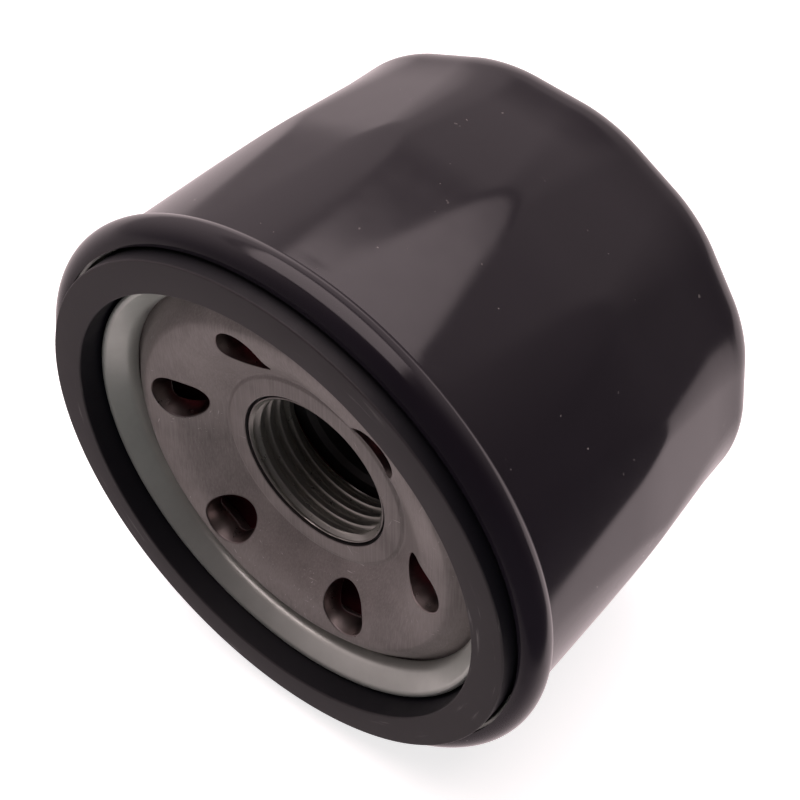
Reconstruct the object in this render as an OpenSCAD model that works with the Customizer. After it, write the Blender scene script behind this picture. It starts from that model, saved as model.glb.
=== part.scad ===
// Spin-on oil filter for a small engine, lying on its side.
// Every part is turned about one axis. In the modules, +Z is that axis: z = 0 is the
// sealing face of the gasket, z > 0 is the engine and z < 0 is the filter. The whole
// model is then laid down, so that the threaded end faces -Y.

/* [Can] */
// Outer diameter of the drawn steel can
can_d = 65; // [65:0.5:68]
// Length from the sealing face to the crown of the domed end
filter_l = 49; // [48:0.5:80]
// Thickness of the can and retainer sheet
sheet_t = 0.5; // [0.4:0.05:0.6]
// Radius of the corner between the wall and the domed end
shoulder_r = 4.5; // [4:0.5:6]
// Height of the crown in the middle of the domed end
crown_h = 2; // [0.5:0.1:2.5]

/* [Wrench flats] */
// Number of flats around the domed end
flat_count = 14; // [12:1:16]
// Distance of a flat from the axis halfway along the can
flat_mid_r = 32.15; // [31.9:0.05:32.3]
// Distance of a flat from the axis at the domed end
flat_end_r = 30.9; // [30.6:0.05:31.2]
// Angle of one ridge between two flats
ridge_angle = 20.3; // [0:0.1:25]

/* [Rolled seam] */
// Radius of the rolled bead
bead_r = 2; // [1.8:0.05:2.2]
// Distance of the bead's top below the sealing face
bead_drop = 1.7; // [1.5:0.1:2.5]

/* [Gasket] */
// Outer diameter of the gasket
gasket_od = 62; // [61:0.1:62.4]
// Inner diameter of the gasket
gasket_id = 54.2; // [54:0.1:56]
// Height of the gasket
gasket_h = 5.5; // [5:0.1:6]

/* [Tapping plate] */
// Thickness of the plate
plate_t = 2.4; // [2:0.1:2.6]
// Diameter of the plate
plate_d = 60.4; // [58:0.1:61]
// Depth of the middle of the dish below the sealing face
dish_depth = 7.7; // [7.5:0.1:8]
// Depth of the ring around the dish below the sealing face
crest_depth = 3.9; // [3.8:0.1:4.4]
// Major diameter of the thread, 3/4 inch
thread_d = 19.05; // [19:0.05:20]
// Crest diameter of the internal thread, which is the hole in the plate
thread_bore_d = 17.5; // [17.3:0.05:17.7]
// Length of the threaded wall
thread_l = 6.2; // [5:0.1:6.4]
// Number of inlet holes
inlet_count = 6; // [4:1:8]
// Diameter of an inlet hole
inlet_d = 5.9; // [4:0.1:6]
// Diameter of the circle of inlet holes
inlet_circle_d = 34.4; // [34:0.1:35]
// Angle of the first inlet hole
inlet_angle = 51.3; // [0:0.1:60]

/* [Anti-drainback valve] */
// Outer diameter of the flap
flap_d = 49; // [47:0.5:51]
// Thickness of the rubber flap
flap_t = 1; // [0.8:0.1:1.2]

/* [Element] */
// Outer diameter of the end caps
element_d = 55; // [52:0.5:56]
// Thickness of the end cap and tube sheet
cap_t = 0.4; // [0.3:0.05:0.5]
// Number of pleats in the paper
pleat_count = 38; // [30:1:38]
// Outer diameter of the perforated tube
tube_d = 19.2; // [19:0.1:19.4]
// Rows of holes in the perforated tube
tube_rows = 6; // [4:1:7]

/* [Bypass valve] */
// Diameter of the hole that the poppet closes
port_d = 8.4; // [7:0.1:9]
// Diameter of the poppet
poppet_d = 11.6; // [11:0.1:12]
// Diameter of the poppet's stem
stem_d = 2.4; // [2:0.1:3]
// Wire thickness of the bypass spring
bypass_wire_d = 0.8; // [0.6:0.05:0.9]

/* [Hold-down spring] */
// Wire thickness of the spring that presses the element to the plate
hold_wire_d = 1.3; // [1:0.1:1.4]

/* [Hidden] */

$fn = 96;

// Can: a straight wall, then a taper down to the narrower domed end
can_r = can_d / 2;
end_r = flat_end_r + 0.35;
crown_r = end_r - shoulder_r;
shoulder_z = crown_h + shoulder_r - filter_l;
flat_start_z = -6.2;
flat_mid_z = -24;
flat_end_z = -40;
flat_pitch = 360 / flat_count;

// Rolled seam: the bead is a round roll that stands proud of the can
bead_proud = 1.3;
bead_c = [can_r - bead_r + bead_proud, -bead_drop - bead_r];
lip_angle = 98;
hook_r = bead_r - sheet_t - 0.05 - sheet_t / 2;

// Gasket groove in the retainer
groove_z = -gasket_h - sheet_t / 2 - 0.1;
groove_out_r = gasket_od / 2 + 0.25 + sheet_t / 2;
groove_in_r = gasket_id / 2 - 0.3 - sheet_t / 2;
collar_top = [groove_in_r - 0.45, -2.9 - sheet_t / 2];
collar_foot = [24.4, -5.35];

// Tapping plate
bore_r = thread_bore_d / 2;
mouth_r = thread_d / 2 - 0.15;
mouth_z = -dish_depth - 0.3;
thread_top_z = mouth_z - (mouth_r - bore_r);
thread_end_z = thread_top_z - thread_l;
neck_r = bore_r + 2.75;
dish_r = 13.2;
slope_top = [17.3, -crest_depth - 0.75];
crest_r = 21.2;
weld_gap = 0.35;
rim_top_z = groove_z - sheet_t / 2 - weld_gap;
rim_under_z = rim_top_z - plate_t;
slope_run = slope_top - [dish_r, -dish_depth];
slope_under = plate_t * [slope_run[1], -slope_run[0]] / norm(slope_run);

// Anti-drainback valve
sleeve_r = neck_r + 1.5;
sleeve_seat_z = thread_end_z - 0.2;
lower_cap_z = sleeve_seat_z - 1 - cap_t / 2;
flap_top_z = rim_under_z - 0.05;
flap_in_r = sleeve_r + 0.2;

// Element
adhesive_t = 1;
upper_cap_z = shoulder_z + 1.2;
media_low_z = upper_cap_z + cap_t / 2 + adhesive_t;
media_high_z = lower_cap_z - cap_t / 2 - adhesive_t;
cap_r = element_d / 2;
cap_rim_l = 3;
cap_bend = 0.5;
tube_r = tube_d / 2;
neck_in_r = tube_r - cap_t - 0.5 - cap_t / 2;
media_in_r = tube_r + 0.7;
media_out_r = cap_r - cap_t - 0.5;
media_t = 0.5;

// Bypass valve, inside the neck of the upper end cap
cage_r = neck_in_r - cap_t / 2 - 0.05;
seat_t = 0.6;
seat_z = upper_cap_z - cap_t / 2;
poppet_z = seat_z + seat_t + 0.05;
poppet_t = 0.8;
cage_top_z = poppet_z + 7.6;
cage_t = 0.5;
stem_gap = 0.1;

// Unit vector and left-hand normal of a 2D vector
function unit(v) = v / norm(v);
function left(v) = [-v[1], v[0]];

// Point i of a path, moved d to the left, with mitred corners
function side(path, i, d) =
    let(
        before = i > 0 ? unit(path[i] - path[i - 1]) : unit(path[1] - path[0]),
        after = i < len(path) - 1 ? unit(path[i + 1] - path[i]) : before,
        mitre = unit(left(before) + left(after))
    )
    path[i] + mitre * d / (mitre * left(before));

// Points along an arc about c
function arc(c, r, from, to, steps = 6) =
    [for (i = [0:steps]) let(a = from + (to - from) * i / steps) c + r * [cos(a), sin(a)]];

// Cross-section of a bent sheet that follows a path
module bent_sheet(path, t) {
    last = len(path) - 1;
    polygon([
        for (i = [0:last]) side(path, i, t / 2),
        for (i = [last:-1:0]) side(path, i, -t / 2)
    ]);
}

// Lays the turned model down, threaded end towards -Y
module laid_down() {
    rotate([90, 0, 0]) children();
}

// A ring with a square section
module ring(r_in, r_out, z_low, z_high) {
    translate([0, 0, z_low]) difference() {
        cylinder(r = r_out, h = z_high - z_low);
        translate([0, 0, -1]) cylinder(r = r_in, h = z_high - z_low + 2);
    }
}

// A coil spring with flat-sided wire, swept along a helix
function coil_r(t, r_low, r_high) = r_low + (r_high - r_low) * t;
module coil(r_low, r_high, z_low, z_high, turns, wire_d) {
    sides = 6;
    steps = round(turns * 20);
    wire_r = wire_d / 2;
    points = [
        for (i = [0:steps], j = [0:sides - 1])
            let(
                t = i / steps,
                a = 360 * turns * t,
                b = 360 * j / sides,
                r = coil_r(t, r_low, r_high) + wire_r * cos(b)
            )
            [r * cos(a), r * sin(a), z_low + (z_high - z_low) * t + wire_r * sin(b)]
    ];
    faces = [
        [for (j = [0:sides - 1]) j],
        for (i = [0:steps - 1], j = [0:sides - 1])
            let(k = (j + 1) % sides)
            [i * sides + j, (i + 1) * sides + j, (i + 1) * sides + k, i * sides + k],
        [for (j = [sides - 1:-1:0]) steps * sides + j]
    ];
    polyhedron(points, faces, convexity = 10);
}

// Solid of the can's outer surface, or of its cavity when inset by the sheet
module can_solid(inset) {
    wall_r = can_r - inset;
    low_z = -filter_l + inset;
    corner_r = shoulder_r - inset;
    roll_r = bead_r - inset;
    foot = acos((wall_r - bead_c[0]) / roll_r);
    crown = [
        for (i = [0:8])
            let(r = crown_r * i / 8)
            [r, low_z + crown_h * pow(i / 8, 2)]
    ];
    shoulder = arc([crown_r, shoulder_z], corner_r, -84, 0, 8);
    taper = [[end_r - inset, flat_end_z], [wall_r, flat_mid_z]];
    roll = arc(bead_c, roll_r, -foot, lip_angle, 14);
    lip = inset > 0
        ? [[roll[14][0], 1], [0, 1]]
        : [[0, roll[14][1]]];
    difference() {
        rotate_extrude() polygon(concat(crown, shoulder, taper, roll, lip));
        for (i = [0:flat_count - 1])
            rotate([0, 0, ridge_angle + (i + 0.5) * flat_pitch]) flat_cutter(inset);
    }
}

// What the press takes off one flat: it leans in slowly, then fast, then runs straight
module flat_cutter(inset) {
    lead = 0.4;
    slope = (can_r - flat_mid_r) / (flat_start_z - flat_mid_z);
    outside = can_r + 1;
    beyond = -filter_l - 1;
    rotate([90, 0, 0]) linear_extrude(can_d, center = true) polygon([
        [can_r - inset + slope * lead, flat_start_z + lead], [flat_mid_r - inset, flat_mid_z],
        [flat_end_r - inset, flat_end_z], [flat_end_r - inset, beyond],
        [outside, beyond], [outside, flat_start_z + lead]
    ]);
}

// Drawn can: domed end, wrench flats and the rolled bead at its mouth
module can_shell() {
    color("#2b2729") laid_down() difference() {
        can_solid(0);
        can_solid(sheet_t);
        translate([0, 0, -bead_drop - 1]) cylinder(r = bead_c[0] + bead_r * cos(lip_angle), h = 4);
    }
}

// Gasket retainer: inner collar, gasket groove and the flange rolled into the bead
module gasket_retainer() {
    collar = [collar_foot, collar_top, [groove_in_r, collar_top[1] + 0.15]];
    groove = [
        [groove_in_r + 0.15, groove_z + 0.3], [groove_in_r + 0.45, groove_z],
        [groove_out_r - 0.4, groove_z], [groove_out_r, groove_z + 0.4]
    ];
    hook_start = acos((groove_out_r - bead_c[0]) / hook_r);
    hook = arc(bead_c, hook_r, hook_start, -20, 10);
    color("#8f938c") laid_down()
        rotate_extrude() bent_sheet(concat(collar, groove, hook), sheet_t);
}

// Sealing compound inside the rolled seam
module seam_sealant() {
    color("#6d5a48") laid_down()
        ring(groove_out_r + sheet_t / 2, can_r - sheet_t, groove_z + 0.4, bead_c[1] - 0.2);
}

// Square-section rubber gasket with softened edges
module sealing_gasket() {
    edge = 0.2;
    r_in = gasket_id / 2;
    r_out = gasket_od / 2;
    color("#3a383b") laid_down() rotate_extrude() polygon([
        [r_in + edge, 0], [r_out - edge, 0], [r_out, -edge], [r_out, edge - gasket_h],
        [r_out - edge, -gasket_h], [r_in + edge, -gasket_h], [r_in, edge - gasket_h], [r_in, -edge]
    ]);
}

// Dished plate with the threaded neck in its middle and a ring of inlet holes
module tapping_plate() {
    top = [
        [bore_r, thread_top_z], [mouth_r, mouth_z], [dish_r, -dish_depth], slope_top,
        [19.2, -crest_depth - 0.25], [crest_r, -crest_depth], [22.2, -crest_depth - 0.2],
        [23, -crest_depth - 0.8], [23.6, rim_top_z + 0.6], [24.2, rim_top_z],
        [plate_d / 2, rim_top_z]
    ];
    underside = [
        [plate_d / 2, rim_under_z], [22.4, rim_under_z], [21.6, rim_under_z + 0.8],
        slope_top + slope_under + [0.6, 0.1], slope_top + slope_under,
        [dish_r, -dish_depth] + slope_under, [neck_r + 0.8, -dish_depth - plate_t - 0.2],
        [neck_r, -dish_depth - plate_t - 1], [neck_r, thread_end_z], [bore_r, thread_end_z]
    ];
    color("#6f6764") laid_down() difference() {
        rotate_extrude() polygon(concat(top, underside));
        for (i = [0:inlet_count - 1])
            rotate([0, 0, inlet_angle + i * 360 / inlet_count])
                translate([inlet_circle_d / 2, 0, -dish_depth - plate_t - 4])
                    cylinder(d = inlet_d, h = dish_depth + plate_t + 4);
    }
}

// Weld nuggets that join the retainer to the plate's rim
module spot_welds() {
    weld_count = 8;
    color("#5d5a58") laid_down()
        for (i = [0:weld_count - 1])
            rotate([0, 0, i * 360 / weld_count])
                translate([28.4, 0, rim_top_z]) cylinder(d = 3, h = weld_gap);
}

// Fixed sleeve of the rubber valve, clamped between the neck and the element
module drainback_sleeve() {
    under_neck_r = neck_r - 0.6;
    color("#5a0f14") laid_down() rotate_extrude() polygon([
        [neck_r, -dish_depth - plate_t - 1.2], [sleeve_r, -dish_depth - plate_t - 1.2],
        [sleeve_r, sleeve_seat_z], [sleeve_r + 1.6, sleeve_seat_z],
        [sleeve_r + 1.6, sleeve_seat_z - 1], [under_neck_r, sleeve_seat_z - 1],
        [under_neck_r, thread_end_z], [neck_r, thread_end_z]
    ]);
}

// Flap of the rubber valve, which lifts off the plate to let oil in
module drainback_flap() {
    lip = [flap_d / 2, flap_top_z - flap_t / 2];
    root = [flap_in_r, flap_top_z - flap_t / 2 - 1.7];
    color("#5a0f14") laid_down() rotate_extrude() polygon([
        [root[0], root[1] - flap_t / 2], [root[0] + 1.2, root[1] - flap_t / 2],
        [lip[0] - 1.6, lip[1] - flap_t / 2], [lip[0], lip[1] - 0.1], [lip[0], flap_top_z],
        [lip[0] - 1.2, flap_top_z], [root[0] + 1, root[1] + flap_t / 2],
        [root[0], root[1] + flap_t / 2]
    ]);
}

// Pressed end cap: outer rim, disc and an inner neck, with the rims pointing towards dir
module end_cap(z, dir) {
    rim_r = cap_r - cap_t / 2;
    path = [
        [neck_in_r, z + dir * 2.6], [neck_in_r, z + dir * cap_bend], [neck_in_r + cap_bend, z],
        [rim_r - cap_bend, z], [rim_r, z + dir * cap_bend], [rim_r, z + dir * cap_rim_l]
    ];
    rotate_extrude() bent_sheet(path, cap_t);
}

module lower_end_cap() {
    color("#302e2e") laid_down() end_cap(lower_cap_z, -1);
}

module upper_end_cap() {
    color("#302e2e") laid_down() end_cap(upper_cap_z, 1);
}

// Adhesive that bonds the paper to the end cap at z, in the corner that the cap's bends leave
module adhesive(z, dir) {
    r_in = neck_in_r + cap_t / 2;
    r_out = cap_r - cap_t;
    face_z = z + dir * cap_t / 2;
    corner = 0.4;
    rotate_extrude() polygon([
        [r_in + corner, face_z], [r_out - corner, face_z], [r_out, face_z + dir * corner],
        [r_out, face_z + dir * adhesive_t], [r_in, face_z + dir * adhesive_t],
        [r_in, face_z + dir * corner]
    ]);
}

module lower_cap_adhesive() {
    color("#8c3b2a") laid_down() adhesive(lower_cap_z, -1);
}

module upper_cap_adhesive() {
    color("#8c3b2a") laid_down() adhesive(upper_cap_z, 1);
}

// Outline of the pleats: square-ended folds, each with an outer and an inner end
function pleat_outline(r_out, half_out, r_in, half_in) =
    let(pitch = 360 / pleat_count)
    [
        for (i = [0:pleat_count - 1], corner = [0:3])
            let(
                outer = corner < 2,
                r = outer ? r_out : r_in,
                half = asin((outer ? half_out : half_in) / r),
                sign = corner % 2 == 0 ? -1 : 1,
                a = (i + (outer ? 0 : 0.5)) * pitch + sign * half
            )
            r * [cos(a), sin(a)]
    ];

// Pleated paper
module pleated_media() {
    tip = 0.8;
    valley = 0.31;
    color("#c9a35a") laid_down()
        translate([0, 0, media_low_z])
            linear_extrude(media_high_z - media_low_z) difference() {
                polygon(pleat_outline(media_out_r, tip, media_in_r + media_t, valley));
                polygon(pleat_outline(
                    media_out_r - media_t, tip - media_t, media_in_r, valley + media_t));
            }
}

// Steel clip that closes the two ends of the paper
module media_seam_clip() {
    leg_l = 3;
    half_w = 0.85;
    clip_t = 0.3;
    low = media_low_z + cap_rim_l - adhesive_t + 0.2;
    high = media_high_z - cap_rim_l + adhesive_t - 0.2;
    color("#b5b3ad") laid_down()
        translate([media_out_r + 0.05, 0, low])
            linear_extrude(high - low) polygon([
                [-leg_l, half_w], [0, half_w], [0, -half_w], [-leg_l, -half_w],
                [-leg_l, -half_w - clip_t], [clip_t, -half_w - clip_t],
                [clip_t, half_w + clip_t], [-leg_l, half_w + clip_t]
            ]);
}

// Perforated tube that holds the paper up from inside
module center_tube() {
    hole_d = 2.6;
    columns = 8;
    tube_l = media_high_z - media_low_z;
    row_pitch = tube_l / tube_rows;
    color("#302e2e") laid_down() difference() {
        ring(tube_r - cap_t, tube_r, media_low_z, media_high_z);
        for (row = [0:tube_rows - 1], column = [0:columns - 1])
            rotate([0, 0, 360 / columns * (column + (row % 2) / 2)])
                translate([tube_r - 2, 0, media_low_z + (row + 0.5) * row_pitch])
                    rotate([0, 90, 0]) cylinder(d = hole_d, h = 4, $fn = 24);
    }
}

// Seat plate with the port that the poppet closes
module bypass_seat() {
    color("#a9a79f") laid_down() ring(port_d / 2, cage_r, seat_z, seat_z + seat_t);
}

// Poppet: a disc with a guide stem
module bypass_poppet() {
    color("#33302f") laid_down() union() {
        translate([0, 0, poppet_z]) cylinder(d = poppet_d, h = poppet_t);
        translate([0, 0, poppet_z]) cylinder(d = stem_d, h = cage_top_z - poppet_z + 1.2);
    }
}

// Spring that holds the poppet shut
module bypass_spring() {
    clear = bypass_wire_d / 2 + 0.03;
    color("#8d8f92") laid_down()
        coil(3.6, 3.6, poppet_z + poppet_t + clear, cage_top_z - cage_t - clear, 4, bypass_wire_d);
}

// Cage over the poppet, with three windows and a guide hole for the stem
module bypass_cage() {
    window_w = 7;
    window_h = 4;
    path = [
        [cage_r - cage_t / 2, seat_z + seat_t],
        [cage_r - cage_t / 2, cage_top_z - 2],
        [cage_r - 1.6, cage_top_z - cage_t / 2],
        [stem_d / 2 + stem_gap, cage_top_z - cage_t / 2]
    ];
    color("#a9a79f") laid_down() difference() {
        rotate_extrude() bent_sheet(path, cage_t);
        for (i = [0:2])
            rotate([0, 0, i * 120])
                translate([stem_d + 2, -window_w / 2, seat_z + seat_t + 1])
                    cube([cage_r, window_w, window_h]);
    }
}

// Conical spring between the domed end and the element
module hold_down_spring() {
    r_dome = 20;
    r_cap = 15;
    wire_r = hold_wire_d / 2;
    dome_z = -filter_l + sheet_t + crown_h * pow((r_dome + wire_r) / crown_r, 2) + wire_r + 0.05;
    color("#77797c") laid_down()
        coil(r_dome, r_cap, dome_z, seat_z - wire_r - 0.03, 2.5, hold_wire_d);
}

can_shell();
gasket_retainer();
seam_sealant();
sealing_gasket();
tapping_plate();
spot_welds();
drainback_sleeve();
drainback_flap();
lower_end_cap();
lower_cap_adhesive();
pleated_media();
media_seam_clip();
center_tube();
upper_cap_adhesive();
upper_end_cap();
bypass_seat();
bypass_poppet();
bypass_spring();
bypass_cage();
hold_down_spring();
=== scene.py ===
"""Looks of a spin-on oil filter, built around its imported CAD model.

Lengths are in millimetres in this file and become metres in place(). The filter's axis is
the row's Y axis: depth 0 is the gasket's sealing face and depth grows along +Y into the can.
"""

import math

import bmesh
import bpy
import numpy as np
from mathutils import Matrix, Vector


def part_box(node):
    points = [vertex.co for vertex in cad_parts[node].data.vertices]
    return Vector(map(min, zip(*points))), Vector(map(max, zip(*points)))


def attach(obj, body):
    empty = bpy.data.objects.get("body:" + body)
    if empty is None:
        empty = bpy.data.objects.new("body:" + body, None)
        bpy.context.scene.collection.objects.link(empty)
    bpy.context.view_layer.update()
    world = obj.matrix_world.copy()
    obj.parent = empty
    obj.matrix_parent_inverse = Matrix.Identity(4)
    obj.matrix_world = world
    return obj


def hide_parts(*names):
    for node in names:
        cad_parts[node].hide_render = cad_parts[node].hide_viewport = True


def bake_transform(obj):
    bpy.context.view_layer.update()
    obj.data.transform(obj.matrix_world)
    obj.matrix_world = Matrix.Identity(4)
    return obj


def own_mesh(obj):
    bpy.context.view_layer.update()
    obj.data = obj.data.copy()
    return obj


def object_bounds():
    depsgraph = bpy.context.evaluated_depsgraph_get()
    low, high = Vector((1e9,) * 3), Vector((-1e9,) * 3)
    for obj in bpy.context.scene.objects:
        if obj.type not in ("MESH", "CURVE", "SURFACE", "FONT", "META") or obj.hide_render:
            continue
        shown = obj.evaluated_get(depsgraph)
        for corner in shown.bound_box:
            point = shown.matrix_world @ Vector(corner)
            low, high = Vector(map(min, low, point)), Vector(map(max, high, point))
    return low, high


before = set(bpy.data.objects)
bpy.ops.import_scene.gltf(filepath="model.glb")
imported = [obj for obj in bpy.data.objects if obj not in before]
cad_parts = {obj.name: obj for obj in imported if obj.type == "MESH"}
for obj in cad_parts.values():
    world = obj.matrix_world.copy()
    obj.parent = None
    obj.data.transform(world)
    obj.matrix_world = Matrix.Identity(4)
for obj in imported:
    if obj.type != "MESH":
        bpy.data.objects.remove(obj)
cad_box = [list(corner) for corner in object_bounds()]

MM = 0.001

# Driving dimensions, the same as the CAD model's. A pair is a (radius, depth) point, and two
# radii are (inner, outer).

# Drawn can, its crowned end and the shoulder round it
CAN_R = 32.5
SHEET = 0.5
FILTER_L = 49.0
CROWN_H = 2.0
SHOULDER_R = 4.5

# Wrench flats: the depth where they begin, then where they fold and where they stop leaning in
FLATS = 14
FLAT_START = 6.2
FLAT_MID = (32.15, 24.0)
FLAT_END = (30.9, 40.0)
RIDGE_ANGLE = 20.3
END_R = FLAT_END[0] + 0.35
CORNER = (END_R - SHOULDER_R, FILTER_L - CROWN_H - SHOULDER_R)

# Rolled bead at the can's mouth
BEAD_R = 2.0
BEAD_C = (CAN_R - BEAD_R + 1.3, 3.7)
LIP_ANGLE = 98.0

# Gasket, the gap under it and the gap that the welds bridge
GASKET_R = (27.1, 31.0)
GASKET_H = 5.5
GASKET_GAP = 0.1
WELD_GAP = 0.35

# Tapping plate: depths of its dish, its crest and its rim
PLATE_R = 30.2
PLATE_T = 2.4
DISH = 7.7
DISH_R = 13.2
CREST = 3.9
CREST_R = 21.0
SLOPE_TOP = (17.3, CREST + 0.75)
RIM_TOP = GASKET_H + SHEET + GASKET_GAP + WELD_GAP
RIM_UNDER = RIM_TOP + PLATE_T

# Neck and its 3/4-16 thread
THREAD_R = 9.525
ROOT_R = THREAD_R - 0.2
BORE_R = 8.75
NECK_R = BORE_R + 2.75
MOUTH_R = 9.375
MOUTH_STEP = 0.3
THREAD_L = 6.2
THREAD_END = DISH + MOUTH_STEP + (MOUTH_R - BORE_R) + THREAD_L
PITCH = 1.5875

# Inlet holes, a little narrower at their lower edge
HOLES = 6
HOLE_R = 2.98
HOLE_LOW_R = 2.72
HOLE_CIRCLE_R = 17.2
HOLE_ANGLE = 51.3

# Segments around the axis: a multiple of the number of holes, and one of the flats
TURN = 216
CAN_TURN = FLATS * 28

# The studio, in metres: half the floor's side and the backdrop's radius and height
STAGE_R = 4.0
# Colour of the studio's light
WARM_WHITE = (1.0, 0.83, 0.85)


# ---------------------------------------------------------------- mesh helpers


def place(r, depth, angle):
    """Row-frame point, in metres, at a radius and depth, angle degrees from +X towards +Z."""
    a = math.radians(angle)
    return (r * math.cos(a) * MM, depth * MM, r * math.sin(a) * MM)


def piece(name, verts, faces, materials, body="housing", sharp=32.0, indices=None):
    """A mesh object on a body: merged, with outward normals, smooth but for its sharp edges."""
    mesh = bpy.data.meshes.new(name)
    mesh.from_pydata(verts, [], faces)
    if indices is not None:
        mesh.polygons.foreach_set("material_index", indices)
    bm = bmesh.new()
    bm.from_mesh(mesh)
    bmesh.ops.remove_doubles(bm, verts=bm.verts, dist=2e-7)
    bmesh.ops.dissolve_degenerate(bm, edges=bm.edges, dist=1e-8)
    bmesh.ops.recalc_face_normals(bm, faces=bm.faces)
    bm.to_mesh(mesh)
    bm.free()
    mesh.polygons.foreach_set("use_smooth", [True] * len(mesh.polygons))
    mesh.set_sharp_from_angle(angle=math.radians(sharp))
    for material in materials:
        mesh.materials.append(material)
    made = bpy.data.objects.new(name, mesh)
    bpy.context.scene.collection.objects.link(made)
    if body is not None:
        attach(made, body)
    return made


def grid_faces(rows, columns, closed_rows=False, start=0):
    """Quads of a grid that closes round its columns, and round its rows too if asked."""
    faces = []
    for i in range(rows if closed_rows else rows - 1):
        k = (i + 1) % rows
        for j in range(columns):
            n = (j + 1) % columns
            faces.append((start + i * columns + j, start + i * columns + n,
                          start + k * columns + n, start + k * columns + j))
    return faces


def spin(outline, turn=TURN, closed=True):
    """Vertices and faces of an outline of (r, depth) points turned about the axis."""
    angles = [360 * j / turn for j in range(turn)]
    verts = [place(r, d, a) for r, d in outline for a in angles]
    return verts, grid_faces(len(outline), turn, closed)


def rounded(corners, closed=True, step=11.0):
    """Outline through (r, depth, fillet) corners, each one rounded by its fillet radius."""
    outline = []
    count = len(corners)
    for i, (x, y, fillet) in enumerate(corners):
        here = Vector((x, y))
        ends = not closed and i in (0, count - 1)
        if fillet <= 0 or ends:
            outline.append((x, y))
            continue
        before = Vector(corners[i - 1][:2]) - here
        after = Vector(corners[(i + 1) % count][:2]) - here
        half = before.angle(after) / 2
        reach = min(fillet / math.tan(half), before.length * 0.49, after.length * 0.49)
        radius = reach * math.tan(half)
        middle = (before.normalized() + after.normalized()).normalized()
        centre = here + middle * (radius / math.sin(half))
        first = here + before.normalized() * reach - centre
        last = here + after.normalized() * reach - centre
        sweep = first.angle_signed(last) if first.length > 0 else 0.0
        steps = max(2, round(abs(math.degrees(sweep)) / step))
        for k in range(steps + 1):
            turned = Matrix.Rotation(-sweep * k / steps, 2) @ first
            outline.append((centre.x + turned.x, centre.y + turned.y))
    return outline


def half_round(first, last, turn):
    """Inner points of the half circle from first to last; turn is 1 or -1, the way round."""
    centre = (Vector(first) + Vector(last)) / 2
    spoke = Vector(first) - centre
    steps = 6
    angles = [turn * math.pi * k / steps for k in range(1, steps)]
    return [tuple(centre + Matrix.Rotation(angle, 2) @ spoke) for angle in angles]


def sheet_outline(path, thickness):
    """Closed outline of a bent sheet whose middle follows a path of (r, depth, bend) corners."""
    points = [Vector(p) for p in rounded(path, closed=False)]
    left = []
    right = []
    for i, p in enumerate(points):
        before = p - points[max(i - 1, 0)]
        after = points[min(i + 1, len(points) - 1)] - p
        along = before.normalized() if before.length else after.normalized()
        along = (along + (after.normalized() if after.length else along)).normalized()
        normal = Vector((-along.y, along.x)) * thickness / 2
        left.append(tuple(p + normal))
        right.append(tuple(p - normal))
    far_end = half_round(left[-1], right[-1], -1)
    near_end = half_round(right[0], left[0], -1)
    return left + far_end + right[::-1] + near_end


def arc(centre, radius, start, end, steps):
    """Points of an arc, angles in degrees from +r towards the engine."""
    angles = [math.radians(start + (end - start) * k / steps) for k in range(steps + 1)]
    return [(centre[0] + radius * math.cos(a), centre[1] - radius * math.sin(a)) for a in angles]


def soft_min(a, b, width):
    """The lesser of a and b, blended where they differ by less than width."""
    h = np.clip(0.5 + 0.5 * (b - a) / width, 0, 1)
    return b * (1 - h) + a * h - width * h * (1 - h)


# ---------------------------------------------------------------- materials


class Graph:
    """Shader nodes of one material or of the world, with short calls for the kinds used here."""

    def __init__(self, owner):
        owner.use_nodes = True
        self.nodes = owner.node_tree.nodes
        self.links = owner.node_tree.links

    def feed(self, value, target):
        """Gives an input socket a number, a plain colour or the output of another node."""
        if isinstance(value, tuple):
            target.default_value = (*value, 1.0)
        elif isinstance(value, (int, float)):
            target.default_value = value
        else:
            self.links.new(value, target)

    def math(self, operation, first, second):
        """One math node on two numbers or sockets."""
        node = self.nodes.new("ShaderNodeMath")
        node.operation = operation
        self.feed(first, node.inputs[0])
        self.feed(second, node.inputs[1])
        return node.outputs["Value"]


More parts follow.
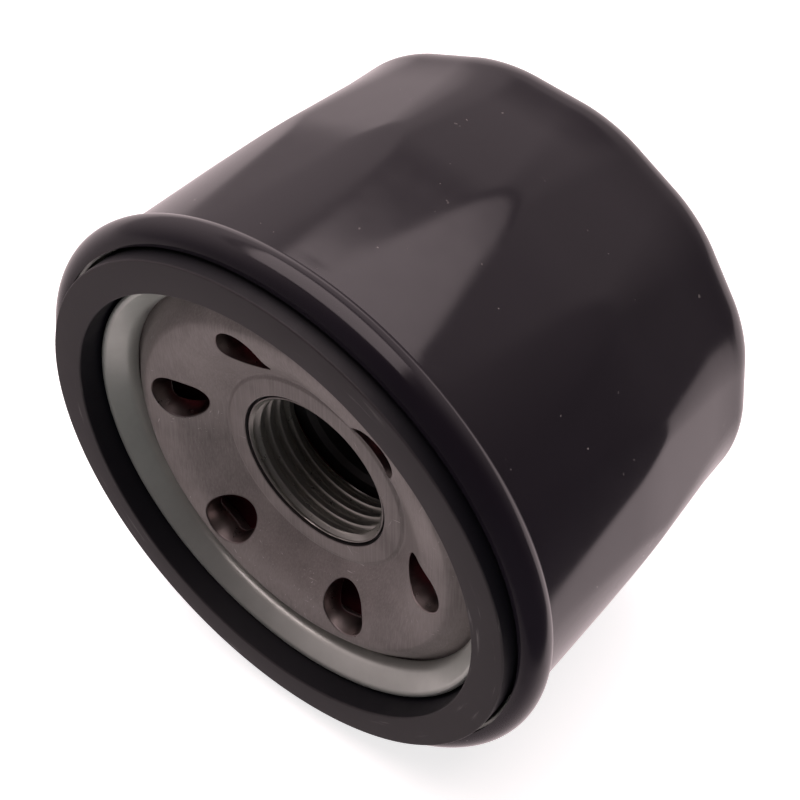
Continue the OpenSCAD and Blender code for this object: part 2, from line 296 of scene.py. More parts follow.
class Finish(Graph):
    """A material whose colour, roughness and relief come from noises on object coordinates."""

    def __init__(self, name):
        self.material = bpy.data.materials.new(name)
        super().__init__(self.material)
        self.shader = self.nodes["Principled BSDF"]
        self.coords = self.nodes.new("ShaderNodeTexCoord").outputs["Object"]

    def drive(self, socket, value):
        """Gives the shader's named socket a number, a plain colour or an output."""
        self.feed(value, self.shader.inputs[socket])

    def along(self, axis):
        """One of the coordinates, in metres."""
        split = self.nodes.new("ShaderNodeSeparateXYZ")
        self.links.new(self.coords, split.inputs["Vector"])
        return split.outputs[axis]

    def vector(self, *parts):
        """A vector of up to three numbers or sockets."""
        node = self.nodes.new("ShaderNodeCombineXYZ")
        for part, target in zip(parts, node.inputs):
            self.feed(part, target)
        return node.outputs["Vector"]

    def turned(self, around):
        """Coordinates that follow a turning about the axis: radius, angle times around, depth."""
        x, depth, z = (self.along(axis) for axis in "XYZ")
        radius = self.nodes.new("ShaderNodeVectorMath")
        radius.operation = "LENGTH"
        self.links.new(self.vector(x, z), radius.inputs[0])
        angle = self.math("ARCTAN2", z, x)
        return self.vector(radius.outputs["Value"], self.math("MULTIPLY", angle, around), depth)

    def noise(self, scale, detail=4.0, roughness=0.55, stretch=None, lean=0.0, coords=None):
        """A noise at a scale per metre.

        stretch multiplies that scale along each axis, and lean turns those axes about Y.
        """
        texture = self.nodes.new("ShaderNodeTexNoise")
        texture.inputs["Scale"].default_value = scale
        texture.inputs["Detail"].default_value = detail
        texture.inputs["Roughness"].default_value = roughness
        source = coords or self.coords
        if stretch:
            mapping = self.nodes.new("ShaderNodeMapping")
            mapping.vector_type = "TEXTURE"
            mapping.inputs["Scale"].default_value = tuple(1 / part for part in stretch)
            mapping.inputs["Rotation"].default_value = (0.0, math.radians(lean), 0.0)
            self.links.new(source, mapping.inputs["Vector"])
            source = mapping.outputs["Vector"]
        self.links.new(source, texture.inputs["Vector"])
        return texture.outputs["Fac"]

    def ramp(self, source, *stops):
        """A colour ramp with two (position, colour) stops; a grey may be given as one number."""
        node = self.nodes.new("ShaderNodeValToRGB")
        for element, (position, colour) in zip(node.color_ramp.elements, stops):
            element.position = position
            rgb = (colour,) * 3 if isinstance(colour, (int, float)) else colour
            element.color = (*rgb, 1.0)
        self.links.new(source, node.inputs["Fac"])
        return node.outputs["Color"]

    def mask(self, source, start, end, most=1.0):
        """A grey that grows from 0 to most as the source goes from start to end."""
        return self.ramp(source, (start, 0.0), (end, most))

    def mix(self, factor, first, second):
        """Mixes two colours; each is an output socket or a plain colour."""
        node = self.nodes.new("ShaderNodeMix")
        node.data_type = "RGBA"
        self.links.new(factor, node.inputs["Factor"])
        self.feed(first, node.inputs[6])
        self.feed(second, node.inputs[7])
        return node.outputs[2]

    def bump(self, height, strength, distance, normal=None):
        """The normal of a relief of some distance in millimetres, on top of another if given."""
        node = self.nodes.new("ShaderNodeBump")
        node.inputs["Strength"].default_value = strength
        node.inputs["Distance"].default_value = distance * MM
        self.links.new(height, node.inputs["Height"])
        if normal is not None:
            self.links.new(normal, node.inputs["Normal"])
        return node.outputs["Normal"]


def surface(name, base, variation, rough, metallic=0.0, scale=900.0, bump=(0.25, 0.02),
            stretch=None):
    """A finish whose colour and roughness drift with a noise, with a fine bump of the same grain.

    base is the colour, variation how much darker and lighter it gets, rough the (low, high)
    roughness, scale the noise scale per metre and bump its (strength, height in mm).
    """
    finish = Finish(name)
    drift = finish.noise(scale * 0.12, 5.0, 0.6, stretch)
    grain = finish.noise(scale, 3.0, 0.6, stretch)
    low = tuple(c * (1 - variation) for c in base)
    high = tuple(min(1.0, c * (1 + variation)) for c in base)
    finish.drive("Base Color", finish.ramp(drift, (0.3, low), (0.7, high)))
    finish.drive("Roughness", finish.ramp(grain, (0.3, rough[0]), (0.7, rough[1])))
    finish.drive("Normal", finish.bump(grain, *bump))
    finish.drive("Metallic", metallic)
    return finish.material


def black_enamel():
    """Glossy stoved enamel: soft orange peel and a few dust specks that lie in patches."""
    finish = Finish("black_enamel")
    specks = finish.mask(finish.noise(1500.0, 1.0, 0.4), 0.775, 0.80)
    patches = finish.mask(finish.noise(130.0, 2.0), 0.52, 0.62)
    dust = finish.math("MULTIPLY", specks, patches)
    enamel = finish.ramp(finish.noise(60.0), (0.3, (0.0105, 0.0085, 0.0125)),
                         (0.7, (0.0130, 0.0105, 0.0155)))
    finish.drive("Base Color", finish.mix(dust, enamel, (0.30, 0.28, 0.27)))
    finish.drive("Roughness", finish.ramp(finish.noise(350.0), (0.35, 0.135), (0.65, 0.165)))
    finish.drive("Normal", finish.bump(finish.noise(420.0, 2.0, 0.45), 0.12, 0.02))
    return finish.material


def gasket_rubber():
    """Black nitrile rubber: a dry grey bloom and pale scuffs on its face, and painted shade that
    darkens its sides.
    """
    finish = Finish("gasket_rubber")
    bloom = finish.noise(160.0, 6.0, 0.65)
    dry = finish.ramp(bloom, (0.25, (0.025, 0.021, 0.023)), (0.75, (0.040, 0.034, 0.037)))
    scuffs = finish.mask(finish.noise(2200.0, 4.0, 0.6, coords=finish.turned(0.0016)), 0.60, 0.68)
    patches = finish.mask(finish.noise(45.0, 2.0), 0.50, 0.60)
    worn = finish.mix(finish.math("MULTIPLY", scuffs, patches), dry, (0.12, 0.11, 0.11))
    # Painted shade: past the sealing face the sides are painted near-black.
    depth = finish.math("MULTIPLY", finish.along("Y"), 1 / MM)
    side = finish.mask(depth, 0.04, 0.25)
    finish.drive("Base Color", finish.mix(side, worn, (0.003, 0.003, 0.006)))
    finish.drive("Roughness", finish.ramp(bloom, (0.3, 0.48), (0.7, 0.62)))
    finish.drive("Normal", finish.bump(finish.noise(2600.0, 3.0, 0.6), 0.35, 0.02))
    finish.drive("Specular IOR Level", 0.38)
    return finish.material


def plate_steel():
    """Oiled grey-brown pressed steel, with rolling marks and scratches in three directions."""
    finish = Finish("plate_steel")
    tone = finish.noise(120.0, 6.0, 0.6)
    base = finish.ramp(tone, (0.30, (0.140, 0.120, 0.116)), (0.70, (0.250, 0.218, 0.210)))
    rolling = finish.noise(420.0, 4.0, 0.6, (14.0, 14.0, 0.4))
    base = finish.mix(finish.mask(rolling, 0.40, 0.70, 0.35), base, (0.34, 0.31, 0.30))
    for lean, patch_scale in ((-35.0, 85.0), (20.0, 110.0), (75.0, 95.0)):
        lines = finish.noise(330.0, 3.0, 0.5, (13.0, 13.0, 0.5), lean)
        patches = finish.mask(finish.noise(patch_scale, 2.0), 0.50, 0.60, 0.9)
        scratches = finish.math("MULTIPLY", finish.mask(lines, 0.69, 0.75), patches)
        base = finish.mix(scratches, base, (0.52, 0.48, 0.46))
    finish.drive("Base Color", base)
    finish.drive("Roughness", finish.ramp(tone, (0.3, 0.40), (0.7, 0.50)))
    finish.drive("Metallic", 0.30)
    fine = finish.bump(finish.noise(1500.0, 3.0, 0.6), 0.25, 0.012)
    finish.drive("Normal", finish.bump(rolling, 0.2, 0.01, fine))
    return finish.material


ENAMEL = black_enamel()
RUBBER = gasket_rubber()
PLATE = plate_steel()
CUT_STEEL = surface("cut_steel", (0.56, 0.56, 0.52), 0.06, (0.27, 0.31), metallic=0.92,
                    bump=(0.04, 0.01))
BURNISHED = surface("burnished_steel", (0.34, 0.30, 0.29), 0.12, (0.27, 0.33), metallic=1.0,
                    bump=(0.05, 0.01))
# Painted shade: the groove round the thread's mouth is painted near-black.
GROOVE_SHADE = surface("groove_painted_shade", (0.030, 0.027, 0.028), 0.2, (0.30, 0.45), metallic=0.2)
ZINC = surface("zinc_sheet", (0.62, 0.65, 0.61), 0.08, (0.28, 0.36), metallic=0.78,
               scale=1200.0, bump=(0.12, 0.01))
SILICONE = surface("red_silicone", (0.19, 0.030, 0.042), 0.15, (0.38, 0.50), scale=1500.0)
PHOSPHATE = surface("black_phosphate", (0.035, 0.033, 0.034), 0.2, (0.45, 0.60), metallic=0.2,
                    scale=1600.0)
TINPLATE = surface("tinplate", (0.52, 0.51, 0.48), 0.12, (0.20, 0.34), metallic=1.0,
                   scale=1000.0, bump=(0.15, 0.01))
PLASTISOL = surface("plastisol", (0.33, 0.085, 0.05), 0.2, (0.35, 0.55))
COMPOUND = surface("seam_compound", (0.20, 0.15, 0.10), 0.25, (0.55, 0.75), scale=1200.0)
WELD = surface("weld_nugget", (0.20, 0.18, 0.175), 0.35, (0.35, 0.60), metallic=1.0,
               scale=1600.0, bump=(0.5, 0.03))
NITRILE = surface("moulded_nitrile", (0.028, 0.026, 0.026), 0.2, (0.42, 0.55), scale=1800.0)
WIRE = surface("spring_wire", (0.36, 0.36, 0.37), 0.2, (0.25, 0.38), metallic=1.0,
               scale=2200.0, bump=(0.3, 0.01))
OILED_WIRE = surface("oiled_wire", (0.24, 0.235, 0.23), 0.25, (0.22, 0.35), metallic=1.0,
                     scale=2000.0, bump=(0.3, 0.01))
PAPER = surface("filter_paper", (0.60, 0.39, 0.15), 0.18, (0.75, 0.92), scale=1400.0,
                bump=(0.6, 0.05), stretch=(1.0, 0.3, 1.0))


# ---------------------------------------------------------------- can


def line_through(first, second, depth):
    """Radius at a depth on the line through two (r, depth) points."""
    return first[0] + (second[0] - first[0]) * (depth - first[1]) / (second[1] - first[1])


def section(angles, depth):
    """Outer radius of the wall at each angle: flats that lean in slowly, then fast, then run on.

    The blends are the widths over which two of its surfaces run into each other.
    """
    fold_blend = 0.16
    end_blend = 0.2
    wall_blend = 0.1
    ridge_blend = float(np.interp(depth, [FLAT_MID[1], 42.0], [0.5, 1.9]))
    gentle = line_through((CAN_R, FLAT_START), FLAT_MID, depth)
    steep = line_through(FLAT_MID, FLAT_END, depth)
    across = -soft_min(-soft_min(gentle, steep, fold_blend), -FLAT_END[0], end_blend)
    pitch = 360 / FLATS
    offset = (angles - RIDGE_ANGLE - pitch / 2) % pitch
    near = across / np.cos(np.radians(offset))
    far = across / np.cos(np.radians(pitch - offset))
    flats = soft_min(near, far, ridge_blend)
    return soft_min(np.full(len(angles), CAN_R), flats, wall_blend)


def can_row(r, depth, inset):
    """Angles of one row of the can and its radius at each, cut back by the flats."""
    angles = np.arange(CAN_TURN) * 360 / CAN_TURN
    if depth <= FLAT_START:
        return angles, np.full(CAN_TURN, r)
    if depth <= CORNER[1]:
        return angles, section(angles, depth) - inset
    keep = min(r / CORNER[0], 1.0) ** 2
    return angles, r + (section(angles, CORNER[1]) - END_R) * keep


def can_profile(inset):
    """(r, depth) rows from the middle of the domed end to the lip of the rolled bead."""
    end = FILTER_L - inset
    crown = [(CORNER[0] * t, end - CROWN_H * t * t) for t in np.linspace(0.0, 0.98, 16)]
    shoulder = arc(CORNER, SHOULDER_R - inset, -84, 0, 18)
    wall = [(CAN_R - inset, d) for d in np.linspace(CORNER[1], FLAT_START, 60)[1:]]
    roll_r = BEAD_R - inset
    foot = math.degrees(math.acos((CAN_R - inset - BEAD_C[0]) / roll_r))
    roll = arc(BEAD_C, roll_r, -foot, LIP_ANGLE, 26)
    return crown + shoulder + wall + roll


def make_can():
    """Drawn can: domed end, wrench flats and the bead rolled over the retainer."""
    outer = [(r, d, 0.0) for r, d in can_profile(0.0)]
    inner = [(r, d, SHEET) for r, d in can_profile(SHEET)][::-1]
    lip = [(r, d, 0.0) for r, d in half_round(outer[-1][:2], inner[0][:2], 1)]
    rows = outer + lip + inner
    verts = []
    for r, depth, inset in rows:
        angles, radii = can_row(r, depth, inset)
        verts.extend(place(q, depth, a) for q, a in zip(radii, angles))
    made = piece("filter_can", verts, grid_faces(len(rows), CAN_TURN), [ENAMEL], sharp=60.0)
    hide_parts("can_shell")


# ---------------------------------------------------------------- retainer and gasket


def make_retainer():
    """Plated retainer: leaning collar, gasket groove and the flange hooked into the bead."""
    half_sheet = SHEET / 2
    outer_gap = 0.25
    inner_gap = 0.3
    hook_gap = 0.05
    groove_floor = GASKET_H + half_sheet + GASKET_GAP
    groove_out = GASKET_R[1] + outer_gap + half_sheet
    groove_in = GASKET_R[0] - inner_gap - half_sheet
    hook_r = BEAD_R - SHEET - hook_gap - half_sheet
    hook_start = math.degrees(math.acos((groove_out - BEAD_C[0]) / hook_r))
    collar = [(24.45, 6.0, 0.0), (24.6, 4.9, 1.6), (26.15, 3.1, 0.3)]
    groove = [
        (groove_in, 3.0, 0.2), (groove_in + 0.05, groove_floor, 0.4),
        (groove_out, groove_floor, 0.4),
    ]
    hook = [(r, d, 0.0) for r, d in arc(BEAD_C, hook_r, hook_start, -20, 14)]
    path = collar + groove + hook
    made = piece("gasket_retainer_ring", *spin(sheet_outline(path, SHEET)), [ZINC], sharp=50.0)
    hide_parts("gasket_retainer")


def make_gasket():
    """Flat rubber ring with softened edges."""
    r_in, r_out = GASKET_R
    edge = 0.2
    outline = rounded([
        (r_in, 0.0, edge), (r_out, 0.0, edge), (r_out, GASKET_H, edge), (r_in, GASKET_H, edge),
    ])
    made = piece("rubber_gasket", *spin(outline, 288), [RUBBER], sharp=60.0)
    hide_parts("sealing_gasket")


# ---------------------------------------------------------------- tapping plate

# Radii between which each hole has its own sector of the mesh
SECTOR_R = (13.7, CREST_R)
# Depth of the ring groove round the thread's mouth, below the dish's floor
GROOVE_DEEP = 0.9
# Finishes of the plate's faces, and the place of each in that list
PLATE_FINISHES = [PLATE, CUT_STEEL, BURNISHED, GROOVE_SHADE]
PRESSED, TURNED, PUNCHED, GROOVED = range(4)


def slope_under(r, depth):
    """A point of the slope's upper side moved through the plate's thickness."""
    run = Vector((SLOPE_TOP[0] - DISH_R, SLOPE_TOP[1] - DISH))
    normal = Vector((-run.y, run.x)).normalized() * PLATE_T
    return (r + normal.x, depth + normal.y)


def plate_top():
    """Upper outline of the plate from the thread's mouth to the rim."""
    lip = [(MOUTH_R, DISH + MOUTH_STEP, 0.0), (MOUTH_R + 0.14, DISH + 0.32, 0.05)]
    groove = [
        (MOUTH_R + 0.2, DISH + GROOVE_DEEP, 0.05), (MOUTH_R + 0.4, DISH + GROOVE_DEEP, 0.05),
        (MOUTH_R + 0.48, DISH + 0.04, 0.12),
    ]
    crease = [(12.0, DISH + 0.05, 0.5), (12.5, DISH + 0.32, 0.3), (DISH_R - 0.15, DISH - 0.1, 0.3)]
    crown = [(*SLOPE_TOP, 6.0), (CREST_R, CREST, 1.6)]
    rim = [(22.9, CREST + 1.2, 0.9), (24.2, RIM_TOP, 0.5), (PLATE_R, RIM_TOP, 0.0)]
    return rounded(lip + groove + crease + crown + rim, closed=False, step=6.0)


def plate_underside():
    """Lower outline of the plate from the foot of the neck to the rim."""
    low = slope_under(DISH_R, DISH)
    high = slope_under(*SLOPE_TOP)
    return rounded([
        (NECK_R + 0.8, DISH + PLATE_T + 0.2, 0.0), (*low, 1.0), (*high, 1.0),
        (high[0] + 0.6, high[1] - 0.1, 0.3), (21.6, RIM_UNDER - 0.8, 0.3),
        (22.4, RIM_UNDER, 0.3), (PLATE_R, RIM_UNDER, 0.0),
    ], closed=False, step=6.0)


def outline_depth(outline, r):
    """Depth of an outline whose radius only grows, at radius r."""
    return float(np.interp(r, [p[0] for p in outline], [p[1] for p in outline]))


def sector_border(angle):
    """Plan points round the sector of the hole at an angle."""
    half = 180 / HOLES
    across = TURN // HOLES
    up = 14
    low, high = SECTOR_R
    border = [(low, angle - half + 2 * half * i / across) for i in range(across)]
    border += [(low + (high - low) * i / up, angle + half) for i in range(up)]
    border += [(high, angle + half - 2 * half * i / across) for i in range(across)]
    border += [(high - (high - low) * i / up, angle - half) for i in range(up)]
    return [Vector((r * math.cos(math.radians(a)), r * math.sin(math.radians(a))))
            for r, a in border]


def hole_side(border, centre, outline, hole_r, fillet, sign):
    """Rows of (x, y, depth) from a sector's border to its hole's wall, and how many roll in.

    sign is 1 on the plate's upper side, where the edge rolls deeper, and -1 on its underside.
    """
    shares_out = (1.0, 0.8, 0.6, 0.42, 0.28, 0.16, 0.07)
    roll_steps = 6
    edge = hole_r + fillet
    spokes = [p - centre for p in border]
    rows = []

    def add_row(reaches, drop):
        """Adds a row at a distance from the hole's middle along each spoke."""
        row = []
        for spoke, reach in zip(spokes, reaches):
            q = centre + spoke.normalized() * reach
            row.append((q.x, q.y, outline_depth(outline, q.length) + sign * drop))
        rows.append(row)

    for share in shares_out:
        add_row([edge + (spoke.length - edge) * share for spoke in spokes], 0.0)
    for k in range(roll_steps, -1, -1):
        a = math.pi / 2 * k / roll_steps
        add_row([hole_r + fillet * (1 - math.cos(a))] * len(spokes), fillet * (1 - math.sin(a)))
    return rows, roll_steps + 1


def hole_sector(angle, top, under):
    """Vertices, faces and finishes of one sector of the plate with its rolled-edge hole."""
    upper_fillet = 0.14
    lower_fillet = 0.18
    bulge = 0.08
    wall_steps = 10
    a = math.radians(angle)
    centre = Vector((HOLE_CIRCLE_R * math.cos(a), HOLE_CIRCLE_R * math.sin(a)))
    border = sector_border(angle)
    above, rolling = hole_side(border, centre, top, HOLE_R, upper_fillet, 1)
    below, _ = hole_side(border, centre, under, HOLE_LOW_R, lower_fillet, -1)
    wall = []
    for k in range(1, wall_steps):
        t = k / wall_steps
        nearer = 1 - bulge * math.sin(math.pi * t) / HOLE_R
        row = []
        for p, q in zip(above[-1], below[-1]):
            x, y, depth = Vector(p) * (1 - t) + Vector(q) * t
            row.append((centre.x + (x - centre.x) * nearer,
                        centre.y + (y - centre.y) * nearer, depth))
        wall.append(row)
    rows = above + wall + below[::-1]
    verts = [(x * MM, d * MM, y * MM) for row in rows for x, y, d in row]
    punched = range(len(above) - rolling, len(above) + len(wall))
    indices = [PUNCHED if i in punched else PRESSED for i in range(len(rows) - 1) for _ in border]
    return verts, grid_faces(len(rows), len(border)), indices


def thread_radius(depth, angle):
    """Radius of the threaded wall: a right-hand 60 degree thread with a chamfer at each end."""
    phase = ((THREAD_END - depth - PITCH * angle / 360) / PITCH) % 1.0
    across = abs(phase - 0.5) * PITCH
    groove = ROOT_R - max(0.0, across - PITCH / 14) * math.tan(math.radians(60))
    lead_in = MOUTH_R - (depth - DISH - MOUTH_STEP)
    run_out = BORE_R + 0.35 - (THREAD_END - depth)
    return max(BORE_R, lead_in, run_out, groove)


def threaded_wall(angle):
    """Grid of the threaded wall whose rows follow the helix, from its far end to the mouth."""
    start = DISH + MOUTH_STEP
    steps = 16
    turns = math.ceil((THREAD_END - start) / PITCH) + 1
    rows = [THREAD_END + PITCH - i * PITCH / steps for i in range(turns * steps + 1)]
    columns = TURN + 1
    verts = []
    for row in rows:
        for j in range(columns):
            depth = min(max(row - PITCH * j / TURN, start), THREAD_END)
            a = angle + 360 * j / TURN
            verts.append(place(thread_radius(depth, a - angle), depth, a))
    faces = []
    for i in range(len(rows) - 1):
        for j in range(TURN):
            corner = i * columns + j
            faces.append((corner, corner + 1, corner + columns + 1, corner + columns))
    return verts, faces


def groove_face(p, q):
    """Whether the faces between two points of the plate's top lie in the groove round the mouth."""
    return p[0] > MOUTH_R and max(p[1], q[1]) > DISH + GROOVE_DEEP / 2


def make_plate():
    """Dished plate: threaded neck, crowned ring, and six holes with rolled edges."""
    top = plate_top()
    under = plate_underside()
    low, high = SECTOR_R
    angles = [HOLE_ANGLE + 360 * (j / TURN - 0.5 / HOLES) for j in range(TURN)]
    verts = []
    faces = []
    indices = []

    def add(part_verts, part_faces, finish):
        """Adds a part; finish is the place of its finish, or a list with one for each face."""
        start = len(verts)
        verts.extend(part_verts)
        faces.extend(tuple(v + start for v in face) for face in part_faces)
        indices.extend(finish if isinstance(finish, list) else [finish] * len(part_faces))

    def turned(outline):
        """Vertices and faces of an open outline turned about the axis."""
        grid = [place(r, d, a) for r, d in outline for a in angles]
        return grid, grid_faces(len(outline), TURN)

    for i in range(HOLES):
        add(*hole_sector(HOLE_ANGLE + i * 360 / HOLES, top, under))
    dish = [p for p in top if p[0] < low] + [(low, outline_depth(top, low))]
    # Faces in the groove round the mouth take the near-black painted shade.
    finishes = [GROOVED if groove_face(p, q) else PRESSED for p, q in zip(dish, dish[1:])]
    add(*turned(dish), [finish for finish in finishes for _ in angles])
    outside = [(high, outline_depth(top, high))] + [p for p in top if p[0] > high]
    beneath = [p for p in under if p[0] > high][::-1] + [(high, outline_depth(under, high))]
    add(*turned(outside + beneath), PRESSED)
    foot_edge = 0.2
    neck = [(low, outline_depth(under, low))] + [p for p in under if p[0] < low][::-1]
    neck += [(NECK_R, DISH + PLATE_T + 1), (NECK_R, THREAD_END - foot_edge)]
    neck += [(NECK_R - foot_edge, THREAD_END)]
    add(*turned(neck), PRESSED)
    outer_foot = [place(NECK_R - foot_edge, THREAD_END, a) for a in angles]
    inner_foot = [place(thread_radius(THREAD_END, a - angles[0]), THREAD_END, a) for a in angles]
    add(outer_foot + inner_foot, grid_faces(2, TURN), TURNED)
    add(*threaded_wall(angles[0]), TURNED)
    made = piece("dished_plate", verts, faces, PLATE_FINISHES, sharp=28.0, indices=indices)
    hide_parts("tapping_plate")


# ---------------------------------------------------------------- valve, springs and paper


def make_drainback_valve():
    """One silicone moulding: the sleeve on the neck and the flap, in one fixed shape."""
    sleeve_r = NECK_R + 1.5
    top = DISH + PLATE_T + 1.2
    seat = THREAD_END + 0.2
    lip = RIM_UNDER + 0.05
    lip_r = 24.5
    flap = [
        (NECK_R, top, 0.15), (sleeve_r - 0.2, top - 0.2, 0.5), (sleeve_r + 1.2, lip + 1.7, 0.6),
        (lip_r - 1.2, lip, 0.3), (lip_r, lip, 0.1), (lip_r, lip + 0.6, 0.2),
        (lip_r - 1.6, lip + 1.0, 0.5), (sleeve_r + 1.4, lip + 2.7, 0.5),
    ]
    sleeve = [
        (sleeve_r, lip + 3.2, 0.4), (sleeve_r, seat, 0.2), (sleeve_r + 1.6, seat, 0.15),
        (sleeve_r + 1.6, seat + 1.0, 0.15), (NECK_R - 0.6, seat + 1.0, 0.15),
        (NECK_R - 0.6, THREAD_END, 0.1), (NECK_R, THREAD_END, 0.0),
    ]
    made = piece("drainback_valve", *spin(rounded(flap + sleeve)), [SILICONE], body=None,
                 sharp=50.0)
    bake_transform(made)
    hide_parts("drainback_sleeve", "drainback_flap")


def swept_wire(centre_line, wire_r, sides=14):
    """Round wire along a list of (r, depth, angle) stations, closed at both ends."""
    stations = [Vector(place(*s)) for s in centre_line]
    verts = []
    for i, p in enumerate(stations):
        along = (stations[min(i + 1, len(stations) - 1)] - stations[max(i - 1, 0)]).normalized()
        out = Vector((p.x, 0, p.z)).normalized()
        side = along.cross(out).normalized()
        out = side.cross(along)
        for k in range(sides):
            b = 2 * math.pi * k / sides
            verts.append(tuple(p + (out * math.cos(b) + side * math.sin(b)) * wire_r * MM))
    faces = grid_faces(len(stations), sides)
    faces.append(tuple(range(sides)))
    faces.append(tuple(range(len(verts) - sides, len(verts))))
    return verts, faces


def coil_line(radii, depths, turns, dead, wire):
    """Stations of a coil whose first and last dead turns lie flat against their seats.

    radii and depths are (first, last) pairs for the wire's middle, turns the number in between.
    """
    total = turns + 2 * dead
    steps = round(total * 40)
    seat_pitch = wire * 1.02
    length = abs(depths[1] - depths[0])
    way = math.copysign(1, depths[1] - depths[0])
    line = []
    for i in range(steps + 1):
        turn = total * i / steps
        t = min(max((turn - dead) / turns, 0), 1)
        lift = seat_pitch * (min(turn, dead) - min(total - turn, dead) + dead)
        depth = depths[0] + way * (lift + t * (length - 2 * dead * seat_pitch))
        line.append((radii[0] + (radii[1] - radii[0]) * t, depth, 360 * turn))
    return line


def coil_in_box(node, radii, turns, dead, wire):
    """Vertices and faces of a coil as long as its CAD node, from its far end to its near end."""
    low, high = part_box(node)
    depths = (high.y / MM - wire / 2, low.y / MM + wire / 2)
    return swept_wire(coil_line(radii, depths, turns, dead, wire), wire / 2)


def make_bypass_spring():
    """Bypass spring, as long as its CAD node."""
    coil = coil_in_box("bypass_spring", radii=(3.6, 3.6), turns=3.6, dead=0.9, wire=0.8)
    made = piece("bypass_coil", *coil, [WIRE])
    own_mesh(made)
    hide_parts("bypass_spring")


def make_hold_down_spring():
    """Conical spring that presses the element against the plate."""
    coil = coil_in_box("hold_down_spring", radii=(20, 15), turns=2.2, dead=0.0, wire=1.3)
    made = piece("hold_down_coil", *coil, [OILED_WIRE])
    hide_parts("hold_down_spring")


def pleat_line(pleats, inner, outer, fold):
    """Closed plan line of the paper's middle; fold holds the radii of its inner and outer folds."""
    line = []
    steps = 8
    for i in range(pleats):
        for middle_r, fold_r, number, turn in ((outer - fold[1], fold[1], i, 1),
                                               (inner + fold[0], fold[0], i + 0.5, -1)):
            a = math.radians(number * 360 / pleats)
            for k in range(steps + 1):
                b = math.pi * (k / steps - 0.5) * turn + (0 if turn > 0 else math.pi)
                x = middle_r + fold_r * math.cos(b)
                y = fold_r * math.sin(b)
                line.append(Vector((x * math.cos(a) - y * math.sin(a),
                                    x * math.sin(a) + y * math.cos(a))))
    return line


def make_paper():
    """Pleated paper with rounded folds."""
    pleats = 38
    thickness = 0.5
    inner = 10.3 + thickness / 2
    outer = 26.6 - thickness / 2
    low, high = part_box("pleated_media")
    middle = pleat_line(pleats, inner, outer, fold=(0.56, 0.55))
    count = len(middle)
    sides = []
    for sign in (1, -1):
        for i, p in enumerate(middle):
            along = middle[(i + 1) % count] - middle[i - 1]
            normal = Vector((along.y, -along.x)).normalized() * sign * thickness / 2
            sides.append(p + normal)
    verts = [(p.x * MM, y, p.y * MM) for y in (low.y, high.y) for p in sides]
    faces = []
    for i in range(count):
        n = (i + 1) % count
        faces.append((i, n, n + 2 * count, i + 2 * count))
        faces.append((count + i, count + n, 3 * count + n, 3 * count + i))
        faces.append((i, n, count + n, count + i))
        faces.append((2 * count + i, 2 * count + n, 3 * count + n, 3 * count + i))
    made = piece("filter_paper", verts, faces, [PAPER], sharp=40.0)
    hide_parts("pleated_media")


def finish_cad_nodes():
    """Gives every CAD node that stays in view its own finish."""
    finishes = {
        "seam_sealant": COMPOUND, "spot_welds": WELD, "lower_end_cap": PHOSPHATE,
        "upper_end_cap": PHOSPHATE, "lower_cap_adhesive": PLASTISOL,
        "upper_cap_adhesive": PLASTISOL, "media_seam_clip": TINPLATE, "center_tube": PHOSPHATE,
        "bypass_seat": TINPLATE, "bypass_poppet": NITRILE, "bypass_cage": TINPLATE,
    }
    for name, material in finishes.items():
        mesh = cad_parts[name].data
        mesh.materials.clear()
        mesh.materials.append(material)


# ---------------------------------------------------------------- stage


def make_camera():
    """Camera above and to the right of the threaded end, placed along its own axes."""
    azimuth = math.radians(39.26)
    elevation = math.radians(46.52)
    shift_right = 14.18
    shift_up = 12.11
    distance = 176.68
    right = Vector((math.cos(azimuth), math.sin(azimuth), 0))
    back = Vector((math.sin(azimuth) * math.cos(elevation),
                   -math.cos(azimuth) * math.cos(elevation), math.sin(elevation)))
    up = back.cross(right)
    data = bpy.data.cameras.new("camera")
    data.lens = 76.5
    data.sensor_width = 36.0
    data.clip_start = 0.01
    data.clip_end = 20.0
    camera = bpy.data.objects.new("camera", data)
    camera.location = (shift_right * right + shift_up * up + distance * back) * MM
    camera.rotation_euler = Matrix((right, up, back)).transposed().to_euler()
    bpy.context.scene.collection.objects.link(camera)
    bpy.context.scene.camera = camera


def stage_piece(name, verts, faces, material_name, base, glow):
    """A matt surface of the studio: base is its grey, and glow the strength of its white glow."""
    finish = Finish(material_name)
    finish.drive("Base Color", (base, base, base))
    finish.drive("Roughness", 0.9)
    finish.drive("Specular IOR Level", 0.0)
    finish.drive("Emission Color", (1.0, 1.0, 1.0))
    finish.drive("Emission Strength", glow)
    mesh = bpy.data.meshes.new(name)
    mesh.from_pydata(verts, [], faces)
    mesh.materials.append(finish.material)
    made = bpy.data.objects.new(name, mesh)
    bpy.context.scene.collection.objects.link(made)
    return made


def make_floor():
    """Pale floor that the filter lies on; it glows a little, so that the shadow stays faint."""
    z = cad_box[0][2]
    verts = [(-STAGE_R, -STAGE_R, z), (STAGE_R, -STAGE_R, z), (STAGE_R, STAGE_R, z),
             (-STAGE_R, STAGE_R, z)]
    floor = stage_piece("floor", verts, [(0, 1, 2, 3)], "pale_floor", 0.90, 0.75)
    floor.visible_glossy = False


def make_backdrop():
    """White wall round the floor, which only the camera sees."""
    sides = 48
    z = cad_box[0][2]
    around = [2 * math.pi * k / sides for k in range(sides)]
    verts = [(STAGE_R * math.cos(a), STAGE_R * math.sin(a), height)
             for height in (z, z + STAGE_R) for a in around]
    backdrop = stage_piece("backdrop", verts, grid_faces(2, sides), "white_backdrop", 0.0, 1.0)
    backdrop.visible_diffuse = False
    backdrop.visible_glossy = False
    backdrop.visible_transmission = False
    backdrop.visible_shadow = False


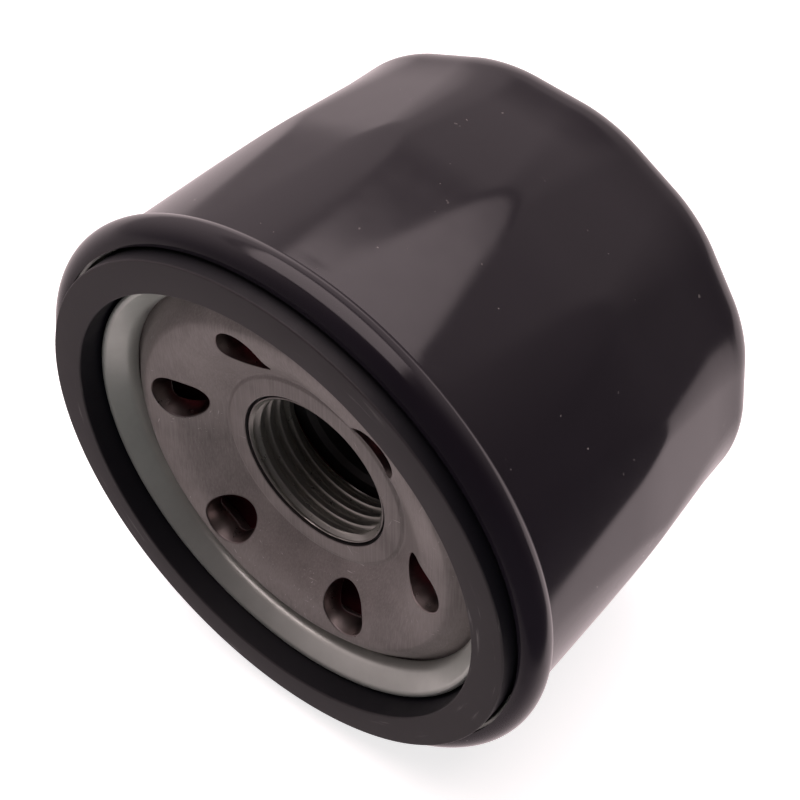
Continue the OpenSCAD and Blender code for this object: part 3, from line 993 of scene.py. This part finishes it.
class Sky(Graph):
    """Nodes of the studio's surroundings: sums and products of smooth lobes of the direction."""

    def __init__(self):
        world = bpy.data.worlds.new("studio")
        super().__init__(world)
        bpy.context.scene.world = world
        self.background = self.nodes["Background"]
        self.direction = self.nodes.new("ShaderNodeTexCoord").outputs["Generated"]

    def towards(self, azimuth, elevation):
        """Cosine of the angle to a direction, given by its azimuth from +X and its elevation."""
        a = math.radians(azimuth)
        e = math.radians(elevation)
        node = self.nodes.new("ShaderNodeVectorMath")
        node.operation = "DOT_PRODUCT"
        self.links.new(self.direction, node.inputs[0])
        node.inputs[1].default_value = (math.cos(e) * math.cos(a), math.cos(e) * math.sin(a),
                                        math.sin(e))
        return node.outputs["Value"]

    def step(self, value, start, end, low, high):
        """Smooth step of a socket between start and end, from low to high."""
        node = self.nodes.new("ShaderNodeMapRange")
        node.interpolation_type = "SMOOTHSTEP"
        self.links.new(value, node.inputs["Value"])
        for name, number in (("From Min", start), ("From Max", end),
                             ("To Min", low), ("To Max", high)):
            node.inputs[name].default_value = number
        return node.outputs["Result"]


def overhead_box(height, x_range, y_range, radiance):
    """A softbox overhead; its ranges are tangents of the angles that its edges are seen at."""
    data = bpy.data.lights.new("overhead_box", "AREA")
    data.shape = "RECTANGLE"
    data.size = (x_range[1] - x_range[0]) * height
    data.size_y = (y_range[1] - y_range[0]) * height
    data.energy = radiance * math.pi * data.size * data.size_y
    data.color = WARM_WHITE
    light = bpy.data.objects.new("overhead_box", data)
    middle = (sum(x_range) / 2 * height, sum(y_range) / 2 * height, height)
    light.location = Vector((0, FILTER_L * MM / 2, 0)) + Vector(middle)
    bpy.context.scene.collection.objects.link(light)


def make_light():
    """Studio: a big softbox overhead, grey walls that brighten behind, and a dark front."""
    sky = Sky()
    up = sky.towards(0, 90)
    # The walls brighten round towards the domed end, and with height
    walls = sky.step(sky.towards(138, 0), -0.75, 1.0, 0.02, 0.66)
    height = sky.step(up, -0.3, 0.75, 0.55, 1.45)
    # They are dimmer in a wide cone round the softbox
    cone = sky.step(sky.towards(130, 79), math.cos(math.radians(46)),
                    math.cos(math.radians(38)), 1.0, 0.5)
    above = sky.math("MULTIPLY", sky.math("MULTIPLY", walls, height), cone)
    # Below them reflections see a table, dark in front and white behind
    table = sky.step(sky.towards(100, 0), -0.8, 0.4, 0.10, 1.0)
    # Its edge is seen higher at the back left, and higher again in line with the domed end
    tilt = sky.math("SUBTRACT", up, sky.math("MULTIPLY", sky.towards(150, 0), 0.5))
    tilt = sky.math("SUBTRACT", tilt, sky.step(sky.towards(90, 0), 0.60, 0.72, 0.0, 0.36))
    below = sky.step(tilt, -0.43, -0.57, 0.0, 1.0)
    over = sky.math("SUBTRACT", 1.0, below)
    mixed = sky.math("ADD", sky.math("MULTIPLY", above, over), sky.math("MULTIPLY", table, below))
    sky.feed(WARM_WHITE, sky.background.inputs["Color"])
    sky.feed(mixed, sky.background.inputs["Strength"])
    overhead_box(1.0, (-0.78, 0.49), (-0.47, 0.78), 2.05)
    bpy.context.scene.view_settings.view_transform = "Standard"


make_camera()
make_can()
make_retainer()
make_gasket()
make_plate()
make_drainback_valve()
make_bypass_spring()
make_hold_down_spring()
make_paper()
finish_cad_nodes()
make_floor()
make_backdrop()
make_light()
